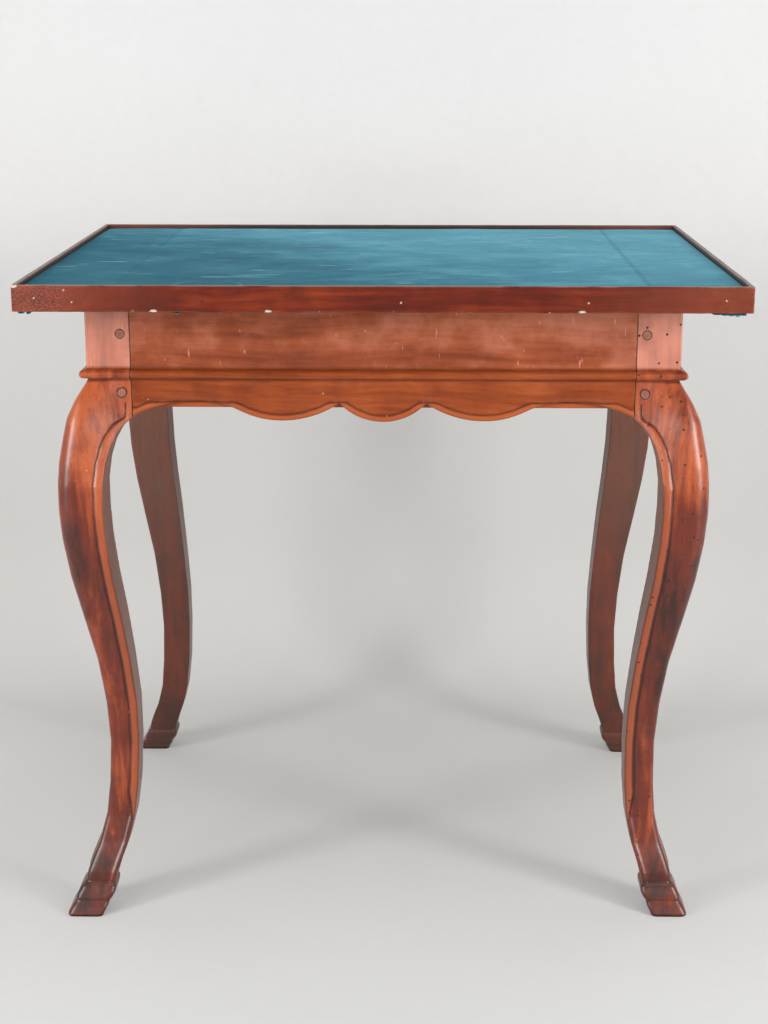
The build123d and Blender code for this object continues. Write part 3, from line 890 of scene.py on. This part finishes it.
topCloth = {
    "width": 0.7782,
    "depth": 0.5982,
    "level": 0.7432,
    "thick": 0.0009,
    "cuts": 110,
    "swell": 0.0007,
    "swellsX": 6,
    "swellsY": 9,
    "swellSeed": 1.3,
    "sunk": 0.012,  # reach of the dip at a seam
    "backHump": 0.0022,
    "backReach": 0.035,
    "backWaves": 14,
    "backSeed": 4.1,
    "cornerReach": 0.05,
    "cornerPull": 0.012,
}


def makeTopCloth():
    cuts = topCloth["cuts"]
    halfX, halfY = topCloth["width"] / 2, topCloth["depth"] / 2
    piece = addSheet("topCloth", cuts, cuts, topCloth["width"], topCloth["depth"], topCloth["level"])
    for vertex in piece.data.vertices:
        x, y, z = vertex.co
        seam = min(abs(abs(x) - cloth["seams"][1]), abs(y - cloth["longSeam"])) / topCloth["sunk"]
        swell = waveAt(x * topCloth["swellsX"], y * topCloth["swellsY"], topCloth["swellSeed"])
        lift = topCloth["swell"] * swell * min(seam, 1)
        # the glue has let go along the back edge, most of all at the left corner
        back = max(0, 1 - (halfY - y) / topCloth["backReach"])
        wave = waveAt(x * topCloth["backWaves"], 0, topCloth["backSeed"])
        lift += topCloth["backHump"] * sin(pi * back) * wave
        vertex.co.z = z + lift
        # that corner has pulled round and away from the rails
        gap = max(0, 1 - (x + halfX + halfY - y) / topCloth["cornerReach"])
        vertex.co.x += topCloth["cornerPull"] * gap * gap
        vertex.co.y -= topCloth["cornerPull"] * gap * gap
    thick = piece.modifiers.new("thick", "SOLIDIFY")
    thick.thickness = topCloth["thick"]
    thick.offset = 1
    bpy.ops.object.modifier_apply(modifier="thick")
    bpy.ops.object.shade_smooth_by_angle(angle=0.7)
    piece.data.materials.append(baize)
    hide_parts("baize_top")
    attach(piece, "tray")


makeTopCloth()
print("top cloth laid")

# cloth under the tray, its edge ragged and in shreds at the front corners

underCloth = {
    "width": 0.7866,
    "depth": 0.6066,
    "level": 0.72005,
    "thick": 0.0009,
    "cutsX": 260,
    "cutsY": 200,
    "margin": 0.02,
    "drawnIn": 0.0055,
    "ragged": 0.003,
    "tatters": 160,
    "seeds": (7.7, 2.2),
    "dowels": (0.305, 0.215),
    "dowelHole": 0.0062,
}


def makeUnderCloth():
    halfX, halfY = underCloth["width"] / 2, underCloth["depth"] / 2
    dowelX, dowelY = underCloth["dowels"]
    drawnIn, ragged, tatters = underCloth["drawnIn"], underCloth["ragged"], underCloth["tatters"]
    seedX, seedY = underCloth["seeds"]
    cuts = (underCloth["cutsX"], underCloth["cutsY"])
    piece = addSheet("underCloth", *cuts, underCloth["width"], underCloth["depth"], underCloth["level"])
    bpy.ops.object.mode_set(mode="EDIT")
    bpy.ops.mesh.select_all(action="DESELECT")
    bpy.ops.object.mode_set(mode="OBJECT")
    for face in piece.data.polygons:
        x, y, z = face.center
        face.select = (abs(x) - dowelX) ** 2 + (abs(y) - dowelY) ** 2 < underCloth["dowelHole"] ** 2
    bpy.ops.object.mode_set(mode="EDIT")
    bpy.ops.mesh.select_mode(type="FACE")
    bpy.ops.mesh.delete(type="FACE")
    bpy.ops.object.mode_set(mode="OBJECT")
    for vertex in piece.data.vertices:
        x, y, z = vertex.co
        inX = max(0, 1 - (halfX - abs(x)) / underCloth["margin"])
        inY = max(0, 1 - (halfY - abs(y)) / underCloth["margin"])
        shredX = drawnIn + ragged * waveAt(y * tatters, x, seedX)
        shredY = drawnIn + ragged * waveAt(x * tatters, y, seedY)
        vertex.co.x = x - (shredX * inX if x > 0 else -shredX * inX)
        vertex.co.y = y - (shredY * inY if y > 0 else -shredY * inY)
    thick = piece.modifiers.new("thick", "SOLIDIFY")
    thick.thickness = underCloth["thick"]
    thick.offset = 1
    bpy.ops.object.modifier_apply(modifier="thick")
    bpy.ops.object.shade_smooth_by_angle(angle=0.7)
    piece.data.materials.append(lining)
    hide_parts("baize_underside")
    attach(piece, "tray")
    return piece


# shreds of that cloth hanging from the edge; places: along the front edge, width and drop

shreds = {
    "places": (
        (-0.3855, 0.008, 0.0015),
        (-0.3775, 0.006, 0.002),
        (-0.2185, 0.006, 0.0018),
        (0.356, 0.009, 0.001),
        (0.364, 0.011, 0.0016),
        (0.3715, 0.01, 0.0024),
        (0.378, 0.009, 0.003),
        (0.384, 0.008, 0.0018),
    ),
    "cuts": 6,
    "narrowing": 0.55,
    "tuckedIn": 0.011,
    "reach": 0.0102,
    "curl": 0.0006,
    "raised": 0.0003,
    "thick": 0.0005,
}


def makeShreds():
    bpy.ops.object.select_all(action="DESELECT")
    front = -underCloth["depth"] / 2
    made = []
    for index, (x, width, drop) in enumerate(shreds["places"]):
        cuts = shreds["cuts"]
        bpy.ops.mesh.primitive_grid_add(x_subdivisions=cuts, y_subdivisions=cuts, size=1, location=(0, 0, 0))
        shred = bpy.context.object
        for vertex in shred.data.vertices:
            across, down = vertex.co.x, 0.5 - vertex.co.y
            frayed = 0.6 + noise.noise(Vector((index * 3.1, down * 4, 0)))
            curl = shreds["curl"] * sin(across * 5 + index)
            hang = drop * max(0, down * 2 - 1) * (1 - 0.5 * abs(across))
            vertex.co.x = x + across * width * (1 - shreds["narrowing"] * down * frayed)
            vertex.co.y = front + shreds["tuckedIn"] - shreds["reach"] * min(1, down * 1.7) + curl
            vertex.co.z = underCloth["level"] + shreds["raised"] - hang
        made.append(shred)
    for shred in made:
        shred.select_set(True)
    bpy.context.view_layer.objects.active = made[0]
    bpy.ops.object.join()
    piece = bpy.context.object
    piece.name = "underClothShreds"
    thick = piece.modifiers.new("thick", "SOLIDIFY")
    thick.thickness = shreds["thick"]
    bpy.ops.object.modifier_apply(modifier="thick")
    bpy.ops.object.shade_smooth_by_angle(angle=0.9)
    piece.data.materials.append(lining)
    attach(piece, "tray")
    return piece


underPiece = makeUnderCloth()
shredPiece = makeShreds()
print("under cloth and shreds made")

# floor and backdrop in one bent sheet of paper

studio = {
    "width": 9.0,
    "front": -4.5,
    "back": 0.62,
    "bend": 0.22,
    "bendCuts": 12,
    "top": 5.0,
    "glow": tint(214, 213, 211),
    "glowShare": 0.3,
    "paper": tint(203, 201, 198),
    "paperTop": tint(232, 232, 232),
    "topFrom": (0.15, 1.0),
    "paperFront": tint(212, 212, 211),
    "frontFrom": (0.15, -0.55),
    "fleck": tint(182, 180, 176),
    "weave": (60.0, 4.0, 0.7),
    "cloudy": (3.5, 3.0, 0.6),
}


def paperSurface():
    surface = Surface("studioPaper", Roughness=0.95, Specular_IOR_Level=0.1)
    weave = surface.noise(surface.place, *studio["weave"])
    cloudy = surface.noise(surface.place, *studio["cloudy"])
    x, y, z = surface.axes(surface.place)
    # the backdrop is painted paler up high and the floor paler at the front: painted light
    surface.colour = surface.mix(surface.step(z, *studio["topFrom"]), studio["paper"], studio["paperTop"])
    surface.cover(surface.step(y, *studio["frontFrom"]), studio["paperFront"])
    surface.cover(weave * 0.2 + cloudy * 0.16, studio["fleck"])
    surface.feed("Base Color", surface.colour)
    # the paper shows a little of its own colour to the camera, so that it stays pale
    lit = Wire(surface, surface.shader.outputs[0])
    glow = surface.add("ShaderNodeEmission", sockets={"Color": (*studio["glow"], 1), "Strength": 1.0})
    share = surface.seen() * studio["glowShare"]
    both = surface.add("ShaderNodeMixShader", sockets={0: share, 1: lit, 2: glow})
    # seen from behind or from below, the paper lets the view through to the table
    clear = surface.add("ShaderNodeBsdfTransparent")
    reverse = surface.add("ShaderNodeNewGeometry", out="Backfacing")
    both = surface.add("ShaderNodeMixShader", sockets={0: reverse, 1: both, 2: clear})
    surface.tree.links.new(both.socket, surface.tree.nodes["Material Output"].inputs["Surface"])
    return surface.material


def makeStage():
    bpy.ops.object.select_all(action="DESELECT")
    bpy.ops.mesh.primitive_plane_add(size=1)
    sheet = bpy.context.object
    sheet.name = "studioFloor"
    sheet.scale = (studio["width"], studio["back"] - studio["front"], 1)
    sheet.location = (0, (studio["back"] + studio["front"]) / 2, 0)
    bpy.ops.object.transform_apply(location=True, rotation=False, scale=True)
    bpy.ops.object.mode_set(mode="EDIT")
    bpy.ops.mesh.select_all(action="DESELECT")
    bpy.ops.object.mode_set(mode="OBJECT")
    for edge in sheet.data.edges:
        edge.select = all(sheet.data.vertices[i].co.y > studio["back"] - 0.001 for i in edge.vertices)
    bpy.ops.object.mode_set(mode="EDIT")
    bpy.ops.mesh.select_mode(type="EDGE")
    bpy.ops.mesh.extrude_region_move(TRANSFORM_OT_translate={"value": (0, 0, studio["top"])})
    bpy.ops.object.mode_set(mode="OBJECT")
    bend = sheet.modifiers.new("bend", "BEVEL")
    bend.width = studio["bend"]
    bend.segments = studio["bendCuts"]
    bpy.ops.object.modifier_apply(modifier="bend")
    bpy.ops.object.shade_smooth()
    sheet.data.materials.append(paperSurface())


makeStage()

# camera at the photograph's place, its focal length in pixels of a picture 1024 high

camera = {
    "place": (0.037, -2.207, 1.016),
    "pitch": 0.2639,
    "yaw": 0.0181,
    "roll": 0.0,
    "focal": 1800.0,
    "height": 1024,
    "sensor": 36.0,
}


def makeCamera():
    turn = (pi / 2 - camera["pitch"], camera["roll"], camera["yaw"])
    bpy.ops.object.camera_add(location=camera["place"], rotation=turn)
    view = bpy.context.object
    view.name = "photoCamera"
    view.data.sensor_fit = "VERTICAL"
    view.data.sensor_height = camera["sensor"]
    view.data.lens = camera["focal"] / camera["height"] * camera["sensor"]
    bpy.context.scene.camera = view


makeCamera()

# two soft boxes and a wide weak one in front, a strip on each side, one soft light above,
# and a weak light all round

lamps = {
    "softboxLeft": {"place": (-1.7, -2.3, 1.45), "target": (0, 0, 0.45), "size": (0.9, 1.3), "power": 14},
    "softboxRight": {"place": (1.75, -2.2, 1.45), "target": (0, 0, 0.45), "size": (0.9, 1.3), "power": 15},
    "softboxFront": {"place": (0.1, -3.4, 1.3), "target": (0, 0, 0.45), "size": (2.2, 1.2), "power": 9},
    "stripLeft": {"place": (-1.7, -1.2, 0.95), "target": (0, 0, 0.5), "size": (0.42, 1.1), "power": 24},
    "stripRight": {"place": (1.7, -1.2, 0.95), "target": (0, 0, 0.5), "size": (0.42, 1.1), "power": 26},
    "softboxTop": {"place": (0.2, -0.5, 3.2), "target": (0, 0.1, 0.5), "size": (2.2, 1.6), "power": 26},
}
air = {"light": (0.192, 0.196, 0.2), "seen": tint(206, 206, 205), "strength": 1.0}


def hangLamp(name, lamp):
    bpy.ops.object.light_add(type="AREA", location=lamp["place"])
    light = bpy.context.object
    light.name = name
    light.data.shape = "RECTANGLE"
    light.data.size, light.data.size_y = lamp["size"]
    light.data.energy = lamp["power"]
    aim = Vector(lamp["target"]) - Vector(lamp["place"])
    light.rotation_euler = aim.to_track_quat("-Z", "Y").to_euler()


def fillAir():
    world = bpy.data.worlds.new("studioLight")
    bpy.context.scene.world = world
    world.use_nodes = True
    sky = NodeKit(world.node_tree)
    colour = sky.mix(sky.seen(), air["light"], air["seen"])
    background = world.node_tree.nodes["Background"]
    sky.tree.links.new(colour.socket, background.inputs["Color"])
    background.inputs["Strength"].default_value = air["strength"]


for name, lamp in lamps.items():
    hangLamp(name, lamp)
fillAir()
bpy.context.scene.view_settings.view_transform = "Standard"
print("stage, camera and lamps set")
